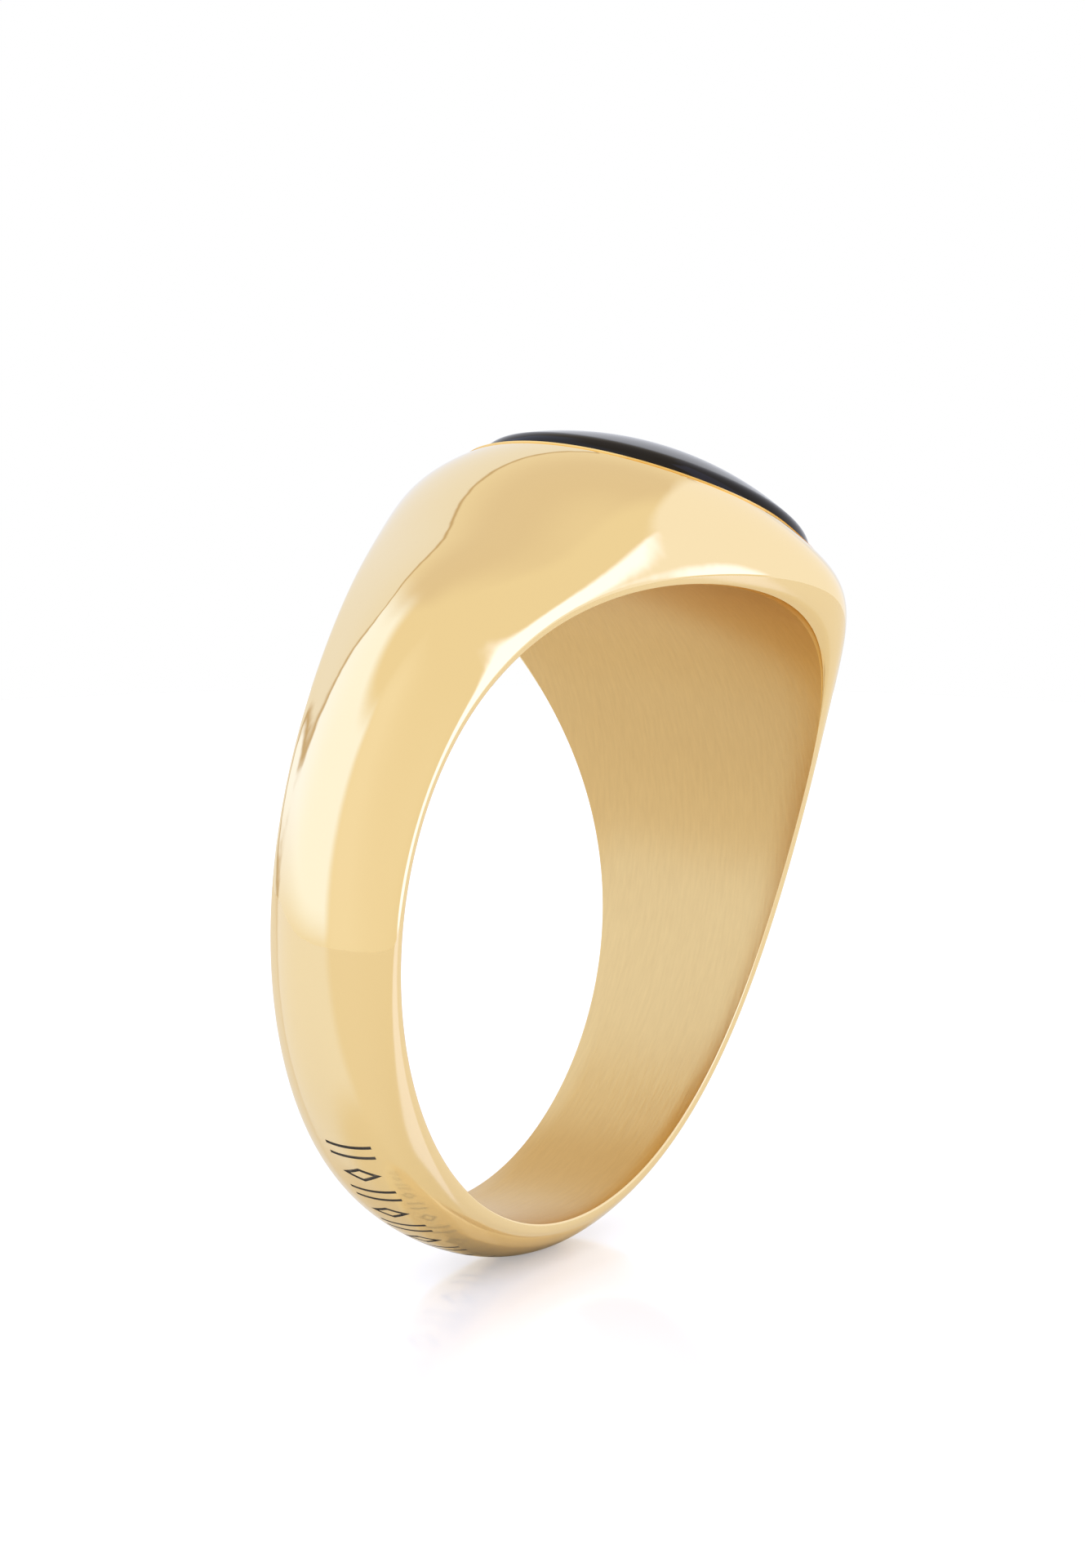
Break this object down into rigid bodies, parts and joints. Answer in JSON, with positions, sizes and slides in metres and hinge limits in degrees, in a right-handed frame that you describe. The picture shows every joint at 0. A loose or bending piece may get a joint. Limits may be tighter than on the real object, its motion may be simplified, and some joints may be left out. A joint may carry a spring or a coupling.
{
  "type": "signet ring",
  "caption": "Signet ring with a broad oval head, a domed black stone set level in it and a slim D-shaped band with a cut motif.",
  "frame": {"origin": "centre of the finger bore", "axes": "+Y along the finger bore, +Z through the middle of the stone, +X across the band"},
  "size_m": [0.0216, 0.0136, 0.0236],
  "materials": {
    "gold_plated_steel": "polished",
    "black_stone": "polished",
    "adhesive": "satin"
  },
  "bodies": {
    "root": {"ring_body": "gold_plated_steel", "stone": "black_stone", "adhesive_bed": "adhesive"}
  },
  "joints": []
}
